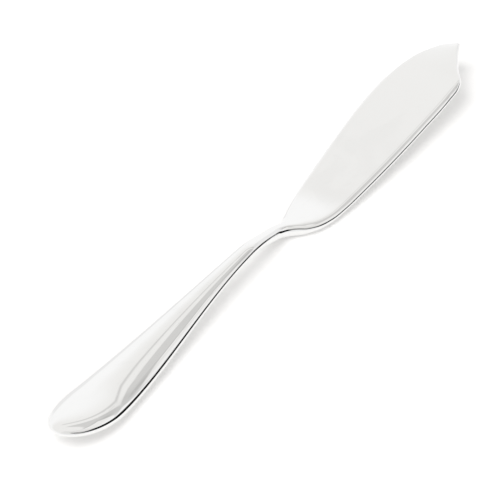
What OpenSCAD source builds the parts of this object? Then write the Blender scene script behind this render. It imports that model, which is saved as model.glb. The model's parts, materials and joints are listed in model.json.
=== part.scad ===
// Fish knife: one blank of polished stainless steel with a broad round butt, a slim arched
// handle, a narrow neck and a flat pointed blade with a notched back.
// The origin is on the table under the middle of the knife. +X runs from the butt to the
// blade's point, +Y towards the blade's edge and +Z up.

/* [Handle] */
// Length of the handle, from the end of the butt to the start of the blade
handle_length = 103; // [80:1:130]
// Width at the butt that the handle tapers from
butt_width = 18; // [12:0.1:22]
// Length over which the end of the butt rounds off
butt_round_length = 18.8; // [8:0.1:30]
// Thickness of the handle at the butt
butt_thickness = 5.1; // [3:0.1:7]
// Length over which the fuller section of the butt fades into the plain handle
end_reach = 35; // [15:1:60]
// Height that the end of the butt turns up above the table
butt_lift = 2.9; // [0.2:0.1:5]
// Height of the arch under the handle
arch_height = 4.6; // [1:0.1:8]

/* [Neck] */
// Width of the neck where it meets the blade
neck_width = 4.7; // [2.5:0.1:7]
// Thickness of the neck at the top of the arch, where the handle is thinnest
neck_thickness = 2.6; // [1.5:0.1:5]
// Thickness at the heel, where the neck spreads into the blade
root_thickness = 3.9; // [2:0.1:6]

/* [Blade] */
// Length of the blade, from the neck to its point
blade_length = 102; // [80:1:130]
// Width of the blade, twice its widest reach from the middle line
blade_width = 22.7; // [16:0.1:30]
// Thickness of the blade along its back
back_thickness = 2.3; // [1.2:0.1:3]
// Width over which the blade's back rolls over
back_round_width = 2; // [1:0.1:4]
// Thickness of the blade beside the bevel of its edge
face_thickness = 1.7; // [1:0.1:2.5]
// Thickness of the blunt edge
edge_thickness = 0.7; // [0.4:0.1:1.2]
// Width of the bevel along the edge
bevel_width = 1; // [0.5:0.1:4]
// Height of the point above the table
point_lift = 7; // [2:0.1:14]
// Distance from the neck to the heel, where the blade touches the table
heel_reach = 8.5; // [4:0.5:18]
// Distance over which the blade's underside bends from the heel to its straight rise
heel_bend = 12; // [6:0.5:20]
// Distance over which the neck flattens into the blade
root_length = 24; // [16:1:32]

/* [Hidden] */

// Points across a section, a multiple of four
section_points = 32;
// Stations along the butt's round end, the handle, the root of the blade, its face and its point
butt_stations = 14;
handle_stations = 30;
root_stations = 24;
face_stations = 12;
point_stations = 20;

// Height of the rim of the handle's section and of the blade's, as shares of the thickness
handle_rim_share = 0.43;
blade_rim_share = 0.5;
// Fullness of the handle's section, of its butt end and of its underside at the heel:
// 2 is a plain ellipse, and more keeps the face flat for longer before it rolls over
section_fullness = 2.1;
end_fullness = 3;
heel_fullness = 3.5;
// Squareness of the butt's round end, seen from above
butt_squareness = 2;

// Places along the handle, as shares of its length: where its underside rests, where the arch
// is highest and where the width has run down to the neck's
rest_share = 0.238;
arch_share = 0.855;
neck_share = 0.95;
// Places along the blade where its notched point begins and where its back turns the corner
point_share = 0.79;
corner_share = 0.84;

// Back of the blade, from the neck to the point: shares of the blade's length and half its width.
// It swells from the neck, runs nearly straight, turns a corner and is hollowed to the point.
back_shares = [
    [0.03, -0.28], [0.07, -0.56], [0.1, -0.715], [0.145, -0.83], [0.205, -0.89], [0.31, -0.945],
    [0.46, -0.99], [0.61, -1], [0.76, -0.985], [0.82, -0.94], [0.845, -0.87], [0.885, -0.6],
    [0.925, -0.39], [0.965, -0.205], [1, -0.07]
];

// Edge of the blade, from the neck to the point, in the same shares.
// It leaves the neck in a short hollow, swells to its widest and rounds in to the point.
edge_shares = [
    [0.05, 0.19], [0.088, 0.255], [0.137, 0.38], [0.205, 0.52], [0.31, 0.65], [0.46, 0.81],
    [0.61, 0.945], [0.71, 0.98], [0.79, 0.95], [0.853, 0.87], [0.902, 0.75], [0.941, 0.57],
    [0.975, 0.335], [1, 0]
];

knife_length = handle_length + blade_length;
half_butt = butt_width / 2;
half_neck = neck_width / 2;
half_blade = blade_width / 2;
rest_x = rest_share * handle_length;
arch_x = arch_share * handle_length;
neck_x = neck_share * handle_length;
heel_x = handle_length + heel_reach;
root_x = handle_length + root_length;
point_x = handle_length + point_share * blade_length;
corner_x = handle_length + corner_share * blade_length;
blade_slope = point_lift / (knife_length - heel_x - heel_bend / 2);

// Both outlines start at the neck's own side
back_points = concat(
    [[0, -half_neck]],
    [for (p = back_shares) [p[0] * blade_length, p[1] * half_blade]]
);
edge_points = concat(
    [[0, half_neck]],
    [for (p = edge_shares) [p[0] * blade_length, p[1] * half_blade]]
);

// Share of the way from a to b, held between 0 and 1
function share_of(a, b, x) = min(1, max(0, (x - a) / (b - a)));

// The same share, eased in and out
function eased(a, b, x) = (1 - cos(180 * share_of(a, b, x))) / 2;

function secant(points, i) = (points[i + 1][1] - points[i][1]) / (points[i + 1][0] - points[i][0]);

// Slope of the smooth curve at point i: its two secants weighed by the other side's length
function slope_at(points, i) =
    i == 0 ? 0 :
    i == len(points) - 1 ? secant(points, i - 1) :
    let (before = points[i][0] - points[i - 1][0], after = points[i + 1][0] - points[i][0])
    (after * secant(points, i - 1) + before * secant(points, i)) / (before + after);

function span_of(points, x, i = 0) =
    i >= len(points) - 2 || x <= points[i + 1][0] ? i : span_of(points, x, i + 1);

// Smooth curve through the points: a cubic on each span that keeps the slopes at its two ends
function curve_at(points, x) =
    let (i = span_of(points, x), run = points[i + 1][0] - points[i][0], t = (x - points[i][0]) / run)
    points[i][1] * (1 + 2 * t) * pow(1 - t, 2) + slope_at(points, i) * run * t * pow(1 - t, 2)
    + points[i + 1][1] * t * t * (3 - 2 * t) - slope_at(points, i + 1) * run * t * t * (1 - t);

// Half the handle's width before the butt is rounded: a cosine taper from the butt to the neck
function taper(x) = half_butt + (half_neck - half_butt) * eased(0, neck_x, x);

// How far a place lies towards the end of the butt, from 0 where the rounding starts to 1
function butt_share(x) = max(0, (butt_round_length - x) / butt_round_length);

// Distance of the outline's round end from the middle line, as a share of the taper
function butt_outline(x) = pow(max(0, 1 - pow(butt_share(x), butt_squareness)), 1 / butt_squareness);

// The back's side and the edge's side of the outline at x
function back_y(x) =
    x < handle_length ? -taper(x) * butt_outline(x) : curve_at(back_points, x - handle_length);
function edge_y(x) =
    x < handle_length ? taper(x) * butt_outline(x) : curve_at(edge_points, x - handle_length);

// Height of the underside: up at the butt, down to where the handle rests, over the arch,
// down to the heel, and up again in a straight line to the point
function underside(x) =
    x < rest_x ? butt_lift * pow(1 - x / rest_x, 2) :
    x < arch_x ? arch_height * eased(rest_x, arch_x, x) :
    x < heel_x ? arch_height * (1 - eased(arch_x, heel_x, x)) :
    x < heel_x + heel_bend ? blade_slope * pow(x - heel_x, 2) / (2 * heel_bend) :
    blade_slope * (x - heel_x - heel_bend / 2);

// Thickness along the middle: from the butt down to the neck over the arch, and up to the heel
function handle_thickness(x) =
    butt_thickness + (neck_thickness - butt_thickness) * eased(rest_x, arch_x, x)
    + (root_thickness - neck_thickness) * eased(arch_x, heel_x, x);

// Thickness of the blade at a distance from its edge and at a share across it from the back
function blade_thickness(inset, across) =
    let (plain = back_thickness + (face_thickness - back_thickness) * across)
    edge_thickness + (plain - edge_thickness) * share_of(0, bevel_width, inset);

// The part of the full thickness that the handle keeps at a place whose share runs from 0 in
// the middle to 1 at the rim
function handle_fill(rim_share, fullness) =
    sqrt(max(0, 1 - pow(rim_share, fullness / butt_squareness)));

// The same for the blade, which rolls over in a quarter ellipse at each of its two sides
function blade_fill(inset, roll) = sqrt(1 - pow(max(0, 1 - inset / roll), 2));

// Share across the section of ring point k: the points crowd at the two rims
function ring_share(k) =
    let (c = cos(360 * k / section_points))
    sign(c) * pow(abs(c), 2 / section_fullness);

// One section of the knife, a ring of points in the plane at x
function section(x) =
    let (
        low = back_y(x),
        high = edge_y(x),
        middle = (low + high) / 2,
        half_width = (high - low) / 2,
        root = eased(handle_length, root_x, x),
        half_handle = handle_thickness(x) / 2,
        endways = pow(butt_share(x), butt_squareness),
        end_part = (end_fullness - section_fullness) * (1 - eased(0, end_reach, x)),
        heel_part = (heel_fullness - section_fullness) * eased(arch_x, handle_length, x),
        rim_level = handle_rim_share + (blade_rim_share - handle_rim_share) * root
    )
    [for (k = [0 : section_points - 1])
        let (
            side = ring_share(k),
            up = k == 0 || k == section_points / 2 ? 0 : k < section_points / 2 ? 1 : -1,
            inset = half_width * (1 - abs(side)),
            rim_share = endways + (1 - endways) * pow(abs(side), butt_squareness),
            fullness = section_fullness + end_part + (up < 0 ? heel_part : 0),
            half_flat = blade_thickness(side > 0 ? inset : half_width, (1 + side) / 2) / 2,
            back_roll = back_round_width
                + (half_flat - back_round_width) * eased(point_x, corner_x, x),
            full = 2 * (half_handle + (half_flat - half_handle) * root),
            reach = up > 0 ? 1 - rim_level : rim_level,
            fill = handle_fill(rim_share, fullness) * (1 - root)
                + blade_fill(inset, side < 0 ? back_roll : half_flat) * root
        )
        [
            x - knife_length / 2,
            middle + half_width * side,
            underside(x) + full * (rim_level + up * reach * fill)
        ]
    ];

// Stations: they crowd at the butt's round end, the root of the blade and its point
stations = concat(
    [for (i = [1 : butt_stations]) butt_round_length * (1 - cos(90 * i / butt_stations))],
    [for (i = [1 : handle_stations])
        butt_round_length + (handle_length - butt_round_length) * i / handle_stations],
    [for (i = [1 : root_stations]) handle_length + root_length * i / root_stations],
    [for (i = [1 : face_stations]) root_x + (point_x - root_x) * i / face_stations],
    [for (i = [1 : point_stations - 1])
        point_x + (knife_length - point_x) * sin(90 * i / point_stations)]
);

module fish_knife() {
    rings = [for (x = stations) section(x)];
    last = len(rings) - 1;
    butt_end = [-knife_length / 2, 0, underside(0) + handle_rim_share * butt_thickness];
    point_end = [
        knife_length / 2,
        (edge_y(knife_length) + back_y(knife_length)) / 2,
        underside(knife_length) + edge_thickness / 2
    ];
    points = concat([butt_end, point_end], [for (ring = rings) each ring]);
    function at(i, k) = 2 + i * section_points + k % section_points;
    faces = concat(
        [for (k = [0 : section_points - 1]) [0, at(0, k), at(0, k + 1)]],
        [for (i = [0 : last - 1], k = [0 : section_points - 1], half = [0, 1])
            half == 0 ? [at(i, k), at(i + 1, k), at(i + 1, k + 1)]
            : [at(i, k), at(i + 1, k + 1), at(i, k + 1)]],
        [for (k = [0 : section_points - 1]) [1, at(last, k + 1), at(last, k)]]
    );
    color("gainsboro") polyhedron(points, faces, convexity = 4);
}

fish_knife();
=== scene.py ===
import json
import math

import bmesh
import bpy
import numpy as np
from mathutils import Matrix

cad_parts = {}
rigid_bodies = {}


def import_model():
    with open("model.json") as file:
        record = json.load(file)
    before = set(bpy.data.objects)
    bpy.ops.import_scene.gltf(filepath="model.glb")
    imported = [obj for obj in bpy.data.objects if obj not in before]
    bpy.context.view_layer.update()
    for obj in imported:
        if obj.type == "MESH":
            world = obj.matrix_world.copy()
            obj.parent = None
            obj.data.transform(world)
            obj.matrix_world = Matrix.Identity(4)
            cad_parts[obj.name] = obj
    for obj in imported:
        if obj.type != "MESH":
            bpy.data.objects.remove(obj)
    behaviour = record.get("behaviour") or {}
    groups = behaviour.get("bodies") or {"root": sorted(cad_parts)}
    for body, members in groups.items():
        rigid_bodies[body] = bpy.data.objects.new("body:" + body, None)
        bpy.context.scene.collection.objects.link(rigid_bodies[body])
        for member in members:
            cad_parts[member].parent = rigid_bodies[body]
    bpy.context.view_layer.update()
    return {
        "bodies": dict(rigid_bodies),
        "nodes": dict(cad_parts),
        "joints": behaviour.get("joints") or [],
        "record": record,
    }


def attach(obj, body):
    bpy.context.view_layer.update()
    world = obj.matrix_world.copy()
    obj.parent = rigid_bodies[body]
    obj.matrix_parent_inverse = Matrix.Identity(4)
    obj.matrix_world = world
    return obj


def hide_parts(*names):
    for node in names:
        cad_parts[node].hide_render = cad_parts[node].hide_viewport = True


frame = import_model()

# Camera
# A long lens looks along the knife from behind its butt, with the blade's point far off
# to the upper right. The knife is small in a deep studio, so its outline hardly tapers.
view_elevation = math.radians(36.0)
view_turn = math.radians(57.99)
view_distance = 0.9
view_target = np.array([-0.00324, 0.0083, 0.0])
lens_mm = 250.0
film_mm = 36.0

toward_camera = np.array([
    -math.sin(view_turn) * math.cos(view_elevation),
    -math.cos(view_turn) * math.cos(view_elevation),
    math.sin(view_elevation),
])
camera_data = bpy.data.cameras.new("camera")
camera_data.lens = lens_mm
camera_data.sensor_width = film_mm
camera_data.sensor_fit = "HORIZONTAL"
camera_data.clip_start = 0.01
camera_data.clip_end = 50.0
camera = bpy.data.objects.new("camera", camera_data)
camera.location = view_target + toward_camera * view_distance
camera.rotation_euler = (math.pi / 2 - view_elevation, 0.0, -view_turn)
bpy.context.scene.collection.objects.link(camera)
bpy.context.scene.camera = camera

# Table
# A wide sheet of white paper lies under the knife. It glows a little to the camera and in the
# steel, so it comes out plain white where the light reaches it and keeps the soft shadow.
table_size = 6.0
table_colour = (0.9, 0.893, 0.882, 1.0)
table_glow = 0.25

table_mesh = bpy.data.meshes.new("table")
half_table = table_size / 2
table_mesh.from_pydata(
    [(-half_table, -half_table, 0.0), (half_table, -half_table, 0.0),
     (half_table, half_table, 0.0), (-half_table, half_table, 0.0)],
    [], [(0, 1, 2, 3)])
table = bpy.data.objects.new("table", table_mesh)
bpy.context.scene.collection.objects.link(table)

paper = bpy.data.materials.new("white_paper")
paper.use_nodes = True
nodes, links = paper.node_tree.nodes, paper.node_tree.links
paper_shader = nodes["Principled BSDF"]
paper_shader.inputs["Base Color"].default_value = table_colour
paper_shader.inputs["Roughness"].default_value = 1.0
paper_shader.inputs["Specular IOR Level"].default_value = 0.0
paper_glow = nodes.new("ShaderNodeEmission")
rays = nodes.new("ShaderNodeLightPath")


def math_node(operation, first, second=None):
    """A math node of the material or world in hand, on two sockets or numbers; its output."""
    node = nodes.new("ShaderNodeMath")
    node.operation = operation
    for slot, value in zip(node.inputs, (first, second)):
        if isinstance(value, (int, float)):
            slot.default_value = value
        elif value is not None:
            links.new(value, slot)
    return node.outputs[0]


seen = math_node("MAXIMUM", rays.outputs["Is Camera Ray"], rays.outputs["Is Glossy Ray"])
seen = math_node("MAXIMUM", seen, rays.outputs["Is Transmission Ray"])
links.new(math_node("MULTIPLY", seen, table_glow), paper_glow.inputs["Strength"])
paper_sum = nodes.new("ShaderNodeAddShader")
links.new(paper_shader.outputs[0], paper_sum.inputs[0])
links.new(paper_glow.outputs[0], paper_sum.inputs[1])
links.new(paper_sum.outputs[0], nodes["Material Output"].inputs["Surface"])
table_mesh.materials.append(paper)

# Studio
# A large soft lamp hangs overhead, a little behind the butt, and white walls light the rest. The
# steel mirrors a darker, slightly warm ceiling, a grey panel with a dark frame, and a black flag
# low on the blade's back side, placed by degrees above the table and round from +X towards +Y.
key_direction = np.array([-0.45, 0.15, 0.8])
key_distance = 3.2
key_size = 2.5
key_power = 58.0
plain_level = 0.56
wall_level = 1.08
wall_colour = (1.0, 1.0, 1.0, 1.0)
ceiling_colour = (1.0, 0.992, 0.977, 1.0)
ceiling_start = (28.0, 44.0)
ceiling_dark = 0.11
frame_dark = 0.25
panel_dark = 0.24
panel_edge_dark = 0.09
far_line_dark = 0.14
behind_dark = 0.08
shade_dark = 0.07
low_shade_dark = 0.12
flag_dark = 0.99
flag_gap_light = 0.6

key_data = bpy.data.lights.new("soft_key", "AREA")
key_data.shape = "SQUARE"
key_data.size = key_size
key_data.energy = key_power
key = bpy.data.objects.new("soft_key", key_data)
key_direction = key_direction / np.linalg.norm(key_direction)
key.location = key_direction * key_distance
key.rotation_euler = (
    math.acos(key_direction[2]), 0.0, math.atan2(key_direction[1], key_direction[0]) + math.pi / 2)
key.visible_glossy = False
bpy.context.scene.collection.objects.link(key)

world = bpy.data.worlds.new("studio")
bpy.context.scene.world = world
world.use_nodes = True
nodes, links = world.node_tree.nodes, world.node_tree.links
walls = nodes["Background"]


def rise(value, low, high):
    """Smooth rise from 0 at low to 1 at high."""
    node = nodes.new("ShaderNodeMapRange")
    node.interpolation_type = "SMOOTHSTEP"
    links.new(value, node.inputs["Value"])
    node.inputs["From Min"].default_value = low
    node.inputs["From Max"].default_value = high
    return node.outputs["Result"]


def product(*steps):
    """Product of several masks."""
    whole = steps[0]
    for step in steps[1:]:
        whole = math_node("MULTIPLY", whole, step)
    return whole


def fall(value, low, high):
    """Smooth fall from 1 at low to 0 at high."""
    return math_node("SUBTRACT", 1.0, rise(value, low, high))


def band(value, start, end):
    """A mask that rises from 0 to 1 over the span start and falls back over the span end."""
    return product(rise(value, *start), fall(value, *end))


def slanted(value, slope, other, place=0.0):
    """value + slope * other - place: how far a direction lies past a slanting edge."""
    shifted = math_node("SUBTRACT", math_node("MULTIPLY", other, slope), place)
    return math_node("ADD", value, shifted)


def below(value, place):
    """How far value lies under place: place - value, and 0 from place upwards."""
    return math_node("MAXIMUM", math_node("SUBTRACT", place, value), 0.0)


split = nodes.new("ShaderNodeSeparateXYZ")
links.new(nodes.new("ShaderNodeTexCoord").outputs["Generated"], split.inputs[0])
height = math_node("DEGREES", math_node("ARCSINE", split.outputs["Z"]))
side = math_node("DEGREES", math_node("ARCTAN2", split.outputs["Y"], split.outputs["X"]))

# The frame is a dark bar. The panel starts over it and has a darker strip along its near end.
over_frame = slanted(height, -0.2, side, place=40.0)
frame = product(
    band(over_frame, (-2.0, 0.0), (0.0, 2.0)), band(side, (-20.0, -8.0), (36.0, 46.0)))
over_panel = rise(slanted(height, -0.42, side, place=44.5), -1.0, 1.0)
panel_end = slanted(side, -1.2, height)
panel_top = slanted(side, 3.0, height)
panel_side = math_node("MAXIMUM", rise(panel_end, -75.0, -72.0), rise(panel_top, 126.0, 130.0))
panel = product(over_panel, fall(height, 56.0, 60.0), panel_side, fall(side, 28.0, 36.0))
low_strip = product(
    band(panel_end, (-75.0, -73.0), (-68.0, -65.0)), band(height, (38.0, 44.0), (46.0, 50.0)))
top_strip = product(
    band(panel_top, (126.0, 130.0), (135.0, 139.0)), rise(height, 46.0, 48.0),
    fall(side, -9.0, -5.0))
panel_edge = product(over_panel, math_node("MAXIMUM", low_strip, top_strip))

# The flag narrows towards the point, climbs towards the butt and lets some light through there
flag_pinch = math_node("MAXIMUM", math_node("ADD", side, 38.0), 0.0)
flag_low = slanted(slanted(height, -0.5, below(side, -50.0)), -0.8, flag_pinch)
flag_high = slanted(slanted(height, 0.4, flag_pinch), -0.58, below(side, -44.0))
flag = product(
    rise(flag_low, -1.0, 3.0), fall(flag_high, 21.0, 26.0),
    fall(slanted(side, 1.3, height), 14.0, 18.0), band(side, (-120.0, -105.0), (-12.0, -6.0)))
flag_gap = product(fall(side, -70.0, -62.0), band(height, (31.0, 36.0), (42.0, 46.0)))
flag = product(flag, math_node("SUBTRACT", 1.0, math_node("MULTIPLY", flag_gap, flag_gap_light)))

# Softer places: a far wall's dark foot, the back of the studio, and two shades under the ceiling
ceiling = rise(height, *ceiling_start)
far_line = product(
    band(height, (-1.0, 1.0), (12.0, 16.0)), band(side, (40.0, 45.0), (50.0, 60.0)))
behind = fall(side, -60.0, -45.0)
shade = product(
    band(side, (-34.0, -20.0), (-4.0, 8.0)), band(height, (28.0, 34.0), (44.0, 48.0)))
low_shade = product(
    band(side, (-30.0, -20.0), (2.0, 12.0)), band(height, (16.0, 22.0), (33.0, 40.0)))

level = wall_level
for mask, darkness in [
        (ceiling, ceiling_dark), (frame, frame_dark), (panel, panel_dark),
        (panel_edge, panel_edge_dark), (far_line, far_line_dark), (behind, behind_dark),
        (shade, shade_dark), (low_shade, low_shade_dark)]:
    level = math_node("SUBTRACT", level, math_node("MULTIPLY", mask, darkness))
level = math_node(
    "MULTIPLY", level, math_node("SUBTRACT", 1.0, math_node("MULTIPLY", flag, flag_dark)))

# Only the steel sees the painted sky. The camera sees plain white, other rays the plain level.
rays = nodes.new("ShaderNodeLightPath")
glossy = rays.outputs["Is Glossy Ray"]
plain = math_node("MULTIPLY", math_node("SUBTRACT", 1.0, glossy), plain_level)
lit_level = math_node("ADD", math_node("MULTIPLY", level, glossy), plain)
seen_level = math_node("MAXIMUM", lit_level, rays.outputs["Is Camera Ray"])
links.new(seen_level, walls.inputs["Strength"])
wall_tint = nodes.new("ShaderNodeMix")
wall_tint.data_type = "RGBA"
wall_tint.inputs["A"].default_value = wall_colour
wall_tint.inputs["B"].default_value = ceiling_colour
links.new(math_node("MULTIPLY", glossy, ceiling), wall_tint.inputs["Factor"])
links.new(wall_tint.outputs["Result"], walls.inputs["Color"])
bpy.context.scene.view_settings.view_transform = "Standard"

# Fish knife
# One blank of stainless steel, forged to a round butt, an arched handle and a narrow neck,
# and rolled flat and cut out as the blade, whose edge is bevelled and whose back is notched.
# All of it is polished to a mirror, so it has no seam anywhere.
handle_length = 0.103
butt_width = 0.018
butt_round_length = 0.0188
butt_thickness = 0.0051
butt_lift = 0.0029
arch_height = 0.0046
neck_width = 0.0047
neck_thickness = 0.0026
root_thickness = 0.0039
blade_length = 0.102
blade_width = 0.0227
back_thickness = 0.0023
back_round_width = 0.002
face_thickness = 0.0017
edge_thickness = 0.0007
bevel_width = 0.001
point_lift = 0.007
heel_reach = 0.0085
heel_bend = 0.012
root_length = 0.024
handle_rim_share = 0.43
blade_rim_share = 0.5
section_fullness = 2.1
end_fullness = 3.0
end_reach = 0.035
heel_fullness = 3.5
butt_squareness = 2.0
rest_share = 0.238
arch_share = 0.855
neck_share = 0.95
point_share = 0.79
corner_share = 0.84
least_width = 1e-7
least_share = 1e-9
back_shares = np.array([
    (0.03, -0.28), (0.07, -0.56), (0.1, -0.715), (0.145, -0.83), (0.205, -0.89), (0.31, -0.945),
    (0.46, -0.99), (0.61, -1), (0.76, -0.985), (0.82, -0.94), (0.845, -0.87), (0.885, -0.6),
    (0.925, -0.39), (0.965, -0.205), (1, -0.07)])
edge_shares = np.array([
    (0.05, 0.19), (0.088, 0.255), (0.137, 0.38), (0.205, 0.52), (0.31, 0.65), (0.46, 0.81),
    (0.61, 0.945), (0.71, 0.98), (0.79, 0.95), (0.853, 0.87), (0.902, 0.75), (0.941, 0.57),
    (0.975, 0.335), (1, 0)])

knife_length = handle_length + blade_length
rest_x = rest_share * handle_length
arch_x = arch_share * handle_length
neck_x = neck_share * handle_length
heel_x = handle_length + heel_reach
root_x = handle_length + root_length
point_x = handle_length + point_share * blade_length
corner_x = handle_length + corner_share * blade_length
blade_slope = point_lift / (knife_length - heel_x - heel_bend / 2)
side_scale = np.array([blade_length, blade_width / 2])
back_points = np.vstack([(0.0, -neck_width / 2), back_shares * side_scale])
edge_points = np.vstack([(0.0, neck_width / 2), edge_shares * side_scale])


def eased(start, end, x):
    """Share of the way from start to end, held between 0 and 1 and eased by a cosine."""
    return (1 - np.cos(np.pi * np.clip((x - start) / (end - start), 0, 1))) / 2


def curve_at(points, x):
    """A cubic between each pair of points. Its slope at a point is the mean of the two
    secants there, each weighed by the length of the other span."""
    px, py = points[:, 0], points[:, 1]
    run = np.diff(px)
    secant = np.diff(py) / run
    inner = (run[1:] * secant[:-1] + run[:-1] * secant[1:]) / (run[1:] + run[:-1])
    slope = np.concatenate([[0.0], inner, [secant[-1]]])
    i = np.clip(np.searchsorted(px, x) - 1, 0, len(run) - 1)
    t = (x - px[i]) / run[i]
    return (py[i] * (1 + 2 * t) * (1 - t) ** 2 + slope[i] * run[i] * t * (1 - t) ** 2
            + py[i + 1] * t * t * (3 - 2 * t) - slope[i + 1] * run[i] * t * t * (1 - t))


def taper(x):
    """Half the handle's width before the butt is rounded: a cosine taper to the neck."""
    return butt_width / 2 + (neck_width - butt_width) / 2 * eased(0, neck_x, x)


def butt_share(x):
    """How far x lies into the butt's round end, from 0 to 1 at the end itself."""
    return np.clip((butt_round_length - x) / butt_round_length, 0, 1)


def outline(x, points, side):
    """One side of the knife seen from above: a superellipse end on the taper as far as the
    neck, and the blade's smooth curve from there on."""
    cap = (1 - butt_share(x) ** butt_squareness) ** (1 / butt_squareness)
    blade = curve_at(points, np.clip(x - handle_length, 0, blade_length))
    return np.where(x < handle_length, side * taper(x) * cap, blade)


def underside(x):
    """Height of the underside: a parabola up to the butt, cosine waves over the arch and
    down to the heel, then a parabola that runs into the blade's straight rise."""
    past = x - heel_x
    return np.select(
        [x < rest_x, x < arch_x, x < heel_x, past < heel_bend],
        [butt_lift * (1 - x / rest_x) ** 2,
         arch_height * eased(rest_x, arch_x, x),
         arch_height * (1 - eased(arch_x, heel_x, x)),
         blade_slope * past ** 2 / (2 * heel_bend)],
        blade_slope * (past - heel_bend / 2))


def handle_thickness(x):
    """Thickness eased from the butt down to the neck, over the arch, and up to the heel."""
    return (butt_thickness + (neck_thickness - butt_thickness) * eased(rest_x, arch_x, x)
            + (root_thickness - neck_thickness) * eased(arch_x, heel_x, x))


def knife_surface(x, y, up):
    """The point above (up 1), below (up -1) or on the rim (up 0) of the place x, y.
    The handle's section is nearly an ellipse with its rim a little under the middle, carried
    round the butt's end by a superellipse share. The blade is flat, thins from back to edge
    and is bevelled there; its back rolls over in a quarter ellipse. A cosine share turns one
    into the other along the root."""
    low, high = outline(x, back_points, -1), outline(x, edge_points, 1)
    half_width = np.maximum((high - low) / 2, least_width)
    side = np.clip((y - (low + high) / 2) / half_width, -1, 1)
    root = eased(handle_length, root_x, x)
    half_handle = handle_thickness(x) / 2
    inset = half_width * (1 - np.abs(side))
    plain = back_thickness + (face_thickness - back_thickness) * (1 + side) / 2
    bevel = np.clip(np.where(side > 0, inset, half_width) / bevel_width, 0, 1)
    half_blade = (edge_thickness + (plain - edge_thickness) * bevel) / 2
    endways = butt_share(x) ** butt_squareness
    outward = endways + (1 - endways) * np.abs(side) ** butt_squareness
    outward = np.maximum(outward, least_share)
    fullness = section_fullness + (end_fullness - section_fullness) * (1 - eased(0, end_reach, x))
    heel = (heel_fullness - section_fullness) * eased(arch_x, handle_length, x)
    fullness = fullness + np.where(up < 0, heel, 0)
    handle_fill = np.sqrt(1 - outward ** (fullness / butt_squareness))
    back_roll = back_round_width + (half_blade - back_round_width) * eased(point_x, corner_x, x)
    roll = np.where(side < 0, back_roll, half_blade)
    blade_fill = np.sqrt(1 - np.clip(1 - inset / roll, 0, 1) ** 2)
    half_full = half_handle + (half_blade - half_handle) * root
    fill = handle_fill * (1 - root) + blade_fill * root
    rim = handle_rim_share + (blade_rim_share - handle_rim_share) * root
    reach = np.where(up > 0, 1 - rim, rim)
    z = underside(x) + 2 * half_full * (rim + up * reach * fill)
    return np.stack([x - knife_length / 2, y, z], axis=-1)


def knife_grid(around, butt_rings, handle_rings, root_rings, face_rings, point_rings):
    """Plan positions of the rings. Over the butt each ring runs from one rim to the middle of
    the round end and back to the other rim, like the spokes of a fan; from there on the
    rings lie straight across, and crowd at the blade's root and its point."""
    turn = 2 * np.pi * np.arange(around) / around
    up = np.sign(np.round(np.sin(turn), 9))
    angle = np.linspace(0, np.pi / 2, butt_rings, endpoint=False)[:, None]
    x_rim = butt_round_length * (1 - np.cos(angle) ** (2 / butt_squareness))
    y_rim = outline(x_rim, edge_points, 1)
    fan = np.cos(turn)[None, :]
    crowd = np.sign(fan) * np.abs(fan) ** (2 / section_fullness)
    x_fan = butt_round_length + (x_rim - butt_round_length) * np.abs(crowd)
    y_fan = y_rim * crowd
    crowd_length = blade_length / 4
    quarter_turn = np.linspace(0, np.pi / 2, point_rings, endpoint=False)
    x_row = np.concatenate([
        np.linspace(butt_round_length, handle_length, handle_rings, endpoint=False),
        np.linspace(handle_length, root_x, root_rings, endpoint=False),
        np.linspace(root_x, knife_length - crowd_length, face_rings, endpoint=False),
        knife_length - crowd_length * (1 - np.sin(quarter_turn)),
    ])[:, None]
    low, high = outline(x_row, back_points, -1), outline(x_row, edge_points, 1)
    y_row = (low + high) / 2 + (high - low) / 2 * crowd
    x_all = np.vstack([x_fan, np.broadcast_to(x_row, y_row.shape)])
    y_all = np.vstack([y_fan, y_row])
    return x_all, y_all, np.broadcast_to(up[None, :], x_all.shape)


grid_x, grid_y, grid_up = knife_grid(
    around=96, butt_rings=64, handle_rings=150, root_rings=70, face_rings=60, point_rings=70)
rings, around = grid_x.shape
knife_points = knife_surface(grid_x, grid_y, grid_up).reshape(-1, 3)
point_end = knife_points[-around:].mean(axis=0)
point_end[0] = knife_length / 2
knife_points = np.vstack([knife_points, point_end])

ring_no, spot_no = np.meshgrid(np.arange(rings - 1), np.arange(around), indexing="ij")
next_spot = (spot_no + 1) % around
quads = np.stack([
    ring_no * around + spot_no, (ring_no + 1) * around + spot_no,
    (ring_no + 1) * around + next_spot, ring_no * around + next_spot], axis=-1).reshape(-1, 4)
last_ring = (rings - 1) * around + np.arange(around)
end_faces = np.stack([last_ring, np.full(around, rings * around), np.roll(last_ring, -1)], axis=-1)

# Where the rings meet, at the butt's rim and the point, doubles are merged and slivers go
weld_distance = 2e-7
sliver_length = 1e-8
knife_mesh = bpy.data.meshes.new("fish_knife_blank")
knife_mesh.from_pydata(knife_points.tolist(), [], quads.tolist() + end_faces.tolist())
weld = bmesh.new()
weld.from_mesh(knife_mesh)
bmesh.ops.remove_doubles(weld, verts=weld.verts, dist=weld_distance)
bmesh.ops.dissolve_degenerate(weld, edges=weld.edges, dist=sliver_length)
bmesh.ops.recalc_face_normals(weld, faces=weld.faces)
weld.to_mesh(knife_mesh)
weld.free()
knife_mesh.shade_smooth()
knife = bpy.data.objects.new("fish_knife_blank", knife_mesh)
bpy.context.scene.collection.objects.link(knife)

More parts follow.
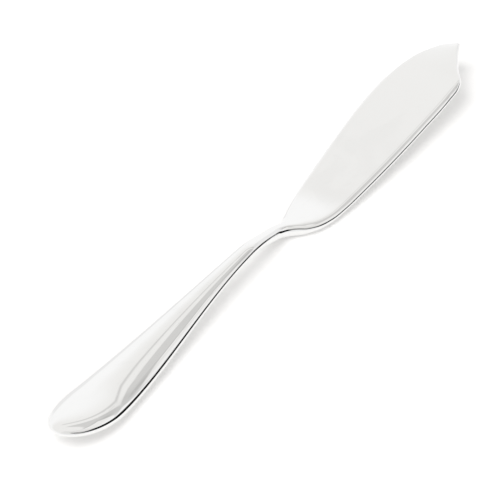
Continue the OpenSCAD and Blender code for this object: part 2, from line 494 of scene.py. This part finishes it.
# The rim wears first, from lying in a drawer: 1 on the outline, 0 from rim_wear_width inwards
rim_wear_width = 0.0012
spots = np.empty(len(knife_mesh.vertices) * 3)
knife_mesh.vertices.foreach_get("co", spots)
spot_x, spot_y = spots[0::3] + knife_length / 2, spots[1::3]
rim_gap = np.minimum(
    spot_y - outline(spot_x, back_points, -1), outline(spot_x, edge_points, 1) - spot_y)
rim_wear = np.clip(1 - rim_gap / rim_wear_width, 0, 1)
knife_mesh.attributes.new("rim_wear", "FLOAT", "POINT").data.foreach_set("value", rim_wear)

# Mirror polish: the wheel left fine lines along the knife, cloths and other cutlery left faint
# wiping marks, smudges and a few hair scratches, and the rim has gone a little satin.
clean_colour = (0.865, 0.865, 0.861, 1.0)
smudged_colour = (0.848, 0.848, 0.844, 1.0)
line_spacing = 0.0007
smudge_size = 0.016
polish_roughness = 0.02
relief_height = 1.0e-6

steel = bpy.data.materials.new("mirror_steel")
steel.use_nodes = True
nodes, links = steel.node_tree.nodes, steel.node_tree.links
shader = nodes["Principled BSDF"]
shader.inputs["Metallic"].default_value = 1.0
knife_place = nodes.new("ShaderNodeTexCoord").outputs["Object"]


def marks(length, width, turn=0.0, detail=1.0, distortion=0.0):
    """Noise drawn out into marks of a length and width, turned about the knife's Z axis."""
    mapping = nodes.new("ShaderNodeMapping")
    mapping.inputs["Rotation"].default_value = (0.0, 0.0, turn)
    mapping.inputs["Scale"].default_value = (1 / length, 1 / width, 1 / width)
    links.new(knife_place, mapping.inputs["Vector"])
    noise = nodes.new("ShaderNodeTexNoise")
    noise.inputs["Scale"].default_value = 1.0
    noise.inputs["Detail"].default_value = detail
    noise.inputs["Distortion"].default_value = distortion
    links.new(mapping.outputs[0], noise.inputs["Vector"])
    return noise.outputs["Fac"]


polish_lines = marks(length=0.02, width=line_spacing, detail=3.0)
smudges = rise(
    marks(length=smudge_size, width=smudge_size, detail=3.0, distortion=0.8), 0.5, 0.68)
wipes = rise(marks(length=0.03, width=0.0035, turn=0.5, detail=2.0, distortion=0.4), 0.52, 0.7)
hairs = math_node(
    "MAXIMUM",
    rise(marks(length=0.012, width=0.00035, turn=0.3), 0.7, 0.74),
    rise(marks(length=0.009, width=0.0003, turn=-0.45), 0.7, 0.74))
wear_mask = nodes.new("ShaderNodeAttribute")
wear_mask.attribute_name = "rim_wear"
worn = product(
    wear_mask.outputs["Fac"], rise(marks(length=0.004, width=0.002, detail=3.0), 0.35, 0.65))

tint = nodes.new("ShaderNodeMix")
tint.data_type = "RGBA"
tint.inputs["A"].default_value = clean_colour
tint.inputs["B"].default_value = smudged_colour
links.new(math_node("MAXIMUM", smudges, worn), tint.inputs["Factor"])
links.new(tint.outputs["Result"], shader.inputs["Base Color"])

roughness = polish_roughness
for mask, added_roughness in [
        (polish_lines, 0.02), (smudges, 0.03), (wipes, 0.02), (hairs, 0.12), (worn, 0.06)]:
    roughness = math_node("ADD", math_node("MULTIPLY", mask, added_roughness), roughness)
links.new(roughness, shader.inputs["Roughness"])

relief = math_node("SUBTRACT", math_node("MULTIPLY", polish_lines, 0.5), hairs)
bump = nodes.new("ShaderNodeBump")
bump.inputs["Strength"].default_value = 1.0
bump.inputs["Distance"].default_value = relief_height
links.new(relief, bump.inputs["Height"])
links.new(bump.outputs["Normal"], shader.inputs["Normal"])
knife_mesh.materials.append(steel)

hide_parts("fish_knife")
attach(knife, "root")
